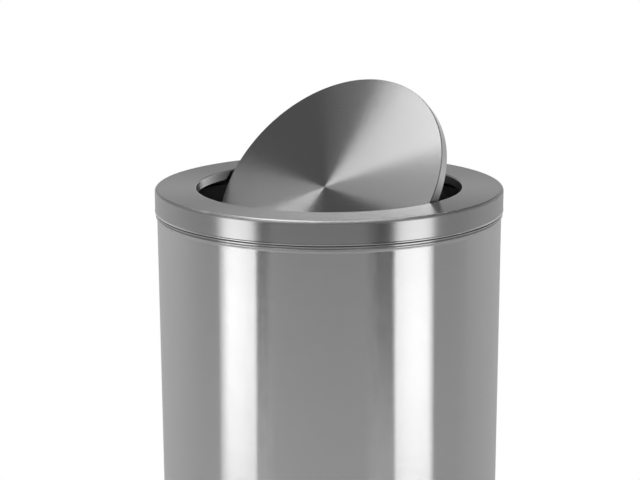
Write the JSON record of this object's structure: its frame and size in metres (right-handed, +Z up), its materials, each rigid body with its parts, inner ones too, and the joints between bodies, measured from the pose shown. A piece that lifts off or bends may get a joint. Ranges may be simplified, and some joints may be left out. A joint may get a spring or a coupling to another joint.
{
  "type": "swing-top trash can",
  "caption": "Round brushed-steel trash can with a lift-off lid ring, a round flap that swings both ways on a cross axle under a counterweight, and a lift-out inner liner.",
  "frame": {"origin": "centre of the can on the floor", "axes": "+Z up, +X along the flap's axle, and at rest the flap's face looks up and towards -Y"},
  "size_m": [0.3812, 0.3812, 0.8569],
  "materials": {
    "brushed_steel": "satin, brushed round the can",
    "spun_steel": "satin, brushed in circles about the middle of the flap",
    "plain_steel": "plain cold-rolled sheet",
    "zinc_steel": "zinc plated",
    "weight_iron": "black paint on a steel bar",
    "black_plastic": "fine moulded grain",
    "liner_plastic": "smooth moulded",
    "bush_plastic": "smooth turned"
  },
  "bodies": {
    "can": {"body_shell": "brushed_steel", "neck_ring": "brushed_steel", "base_pan": "plain_steel", "base_ring": "black_plastic"},
    "bucket": {"liner": "liner_plastic"},
    "lid": {"lid_cover": "brushed_steel", "pivot_bracket_left": "plain_steel", "pivot_bracket_right": "plain_steel", "pivot_bush_left": "bush_plastic", "pivot_bush_right": "bush_plastic"},
    "flap": {"flap_disc": "spun_steel", "axle_rod": "plain_steel", "axle_saddle_left": "plain_steel", "axle_saddle_right": "plain_steel", "axle_clip_left": "zinc_steel", "axle_clip_right": "zinc_steel", "weight_hanger_left": "plain_steel", "weight_hanger_right": "plain_steel", "counterweight": "weight_iron", "counterweight_screws": "zinc_steel", "counterweight_nuts": "zinc_steel"}
  },
  "joints": [
    {"name": "liner_lift", "type": "slide", "parent": "can", "child": "bucket", "axis": [0, 0, 1], "range_m": [0, 0.74]},
    {"name": "lid_lift", "type": "slide", "parent": "bucket", "child": "lid", "axis": [0, 0, 1], "range_m": [0, 0.18]},
    {"name": "flap_swing", "type": "hinge", "parent": "lid", "child": "flap", "pos_m": [0, 0, 0.7428], "axis": [1, 0, 0], "range_deg": [-125.4, 24.6]}
  ]
}
